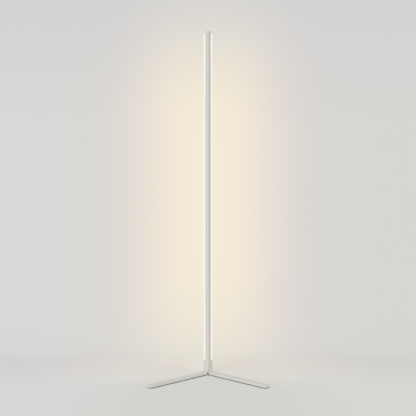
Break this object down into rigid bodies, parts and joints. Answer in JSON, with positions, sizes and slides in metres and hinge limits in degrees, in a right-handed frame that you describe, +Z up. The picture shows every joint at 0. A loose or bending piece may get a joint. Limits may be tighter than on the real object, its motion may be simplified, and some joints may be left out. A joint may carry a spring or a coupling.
{
  "type": "corner floor lamp",
  "caption": "Slim square light column on two mitred bar legs, made to stand in the corner of a room with its light turned to both walls.",
  "frame": {"origin": "on the floor under the middle of the column, at the middle of the heel pad's underside", "axes": "+Z up along the column; -Y towards the viewer, halfway between the two legs, the way the column's front edge points; +X to the viewer's right"},
  "size_m": [0.4722, 0.2544, 1.42],
  "materials": {
    "painted_aluminium": "satin",
    "painted_steel": "satin",
    "lit_diffuser": "satin",
    "white_board": "satin",
    "phosphor": "satin",
    "resistor_black": "satin",
    "grey_tape": "matte",
    "solder": "satin",
    "bare_steel": "satin",
    "black_screw": "satin",
    "nickel": "gloss",
    "brass": "satin",
    "black_plastic": "satin",
    "foot_rubber": "matte",
    "red_insulation": "satin",
    "black_insulation": "satin"
  },
  "bodies": {
    "root": {"front_profile": "painted_aluminium", "diffuser": "lit_diffuser", "led_board": "white_board", "led_chips": "phosphor", "led_resistors": "resistor_black", "board_tape": "grey_tape", "solder_joints": "solder", "top_cap": "painted_aluminium", "post": "painted_aluminium", "spigot": "bare_steel", "spigot_screw": "black_screw", "profile_screws": "bare_steel", "base_block": "bare_steel", "block_screws": "bare_steel", "left_leg": "painted_steel", "right_leg": "painted_steel", "leg_screws": "black_screw", "heel_pad": "foot_rubber", "left_tip_pad": "foot_rubber", "right_tip_pad": "foot_rubber", "socket_shell": "nickel", "socket_insert": "black_plastic", "socket_pin": "brass", "socket_tab": "brass", "socket_washer": "nickel", "socket_nut": "nickel", "wire_bush": "black_plastic", "positive_lead": "red_insulation", "negative_lead": "black_insulation"}
  },
  "joints": []
}
